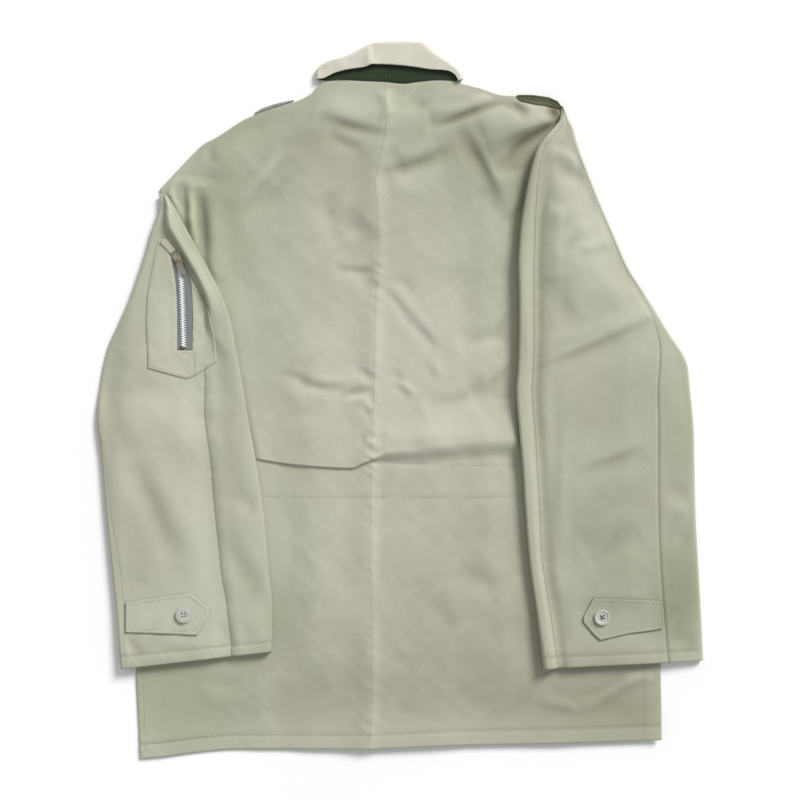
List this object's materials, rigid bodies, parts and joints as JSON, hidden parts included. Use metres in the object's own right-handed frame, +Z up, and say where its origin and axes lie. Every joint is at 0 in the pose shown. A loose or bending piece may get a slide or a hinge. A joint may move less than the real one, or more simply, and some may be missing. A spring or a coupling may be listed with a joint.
{
  "type": "army parka laid flat",
  "caption": "Long cloth field parka laid face down with its sleeves swung in over the back, turned collar, buttoned cuff tabs and a zipped sleeve pocket.",
  "frame": {"origin": "middle of the parka's bounding box, on the table that it lies on", "axes": "+Y from hem to collar, +X to the wearer's right, +Z up from the table and out of the parka's back"},
  "size_m": [0.696, 0.824, 0.0133],
  "materials": {
    "twill": "matte grey-green cotton twill, unevenly faded",
    "collar_twill": "matte pale stone twill",
    "dark_cloth": "matte dark green cloth",
    "strap_cloth": "matte olive twill with lengthwise stitching",
    "buttons": "satin grey-white plastic",
    "zip_tape": "grey woven tape",
    "zip_teeth": "bright metal teeth",
    "zip_metal": "worn satin metal",
    "copper": "dull coppery metal"
  },
  "bodies": {
    "coat": {"front_left": "twill", "front_right": "twill", "back_left": "twill", "back_right": "twill", "sleeve_left_outer": "twill", "sleeve_left_inner": "twill", "sleeve_right_outer": "twill", "sleeve_right_inner": "twill", "top_collar": "collar_twill", "under_collar": "dark_cloth", "shoulder_strap_left": "strap_cloth", "shoulder_strap_right": "strap_cloth", "cuff_tab_left": "twill", "cuff_tab_right": "twill", "cuff_button_left": "buttons", "cuff_button_right": "buttons", "sleeve_pocket": "twill", "zip_tape_left": "zip_tape", "zip_tape_right": "zip_tape", "zip_teeth": "zip_teeth", "zip_stop": "copper", "zip_top_tab": "twill", "zip_slider": "zip_metal"},
    "pull": {"pull_tab": "copper"}
  },
  "joints": [
    {"name": "pull_tab_swing", "type": "hinge", "parent": "coat", "child": "pull", "pos_m": [-0.2536, 0.16, 0.01145], "axis": [-0.9211, -0.3894, 0], "range_deg": [0, 110]}
  ]
}
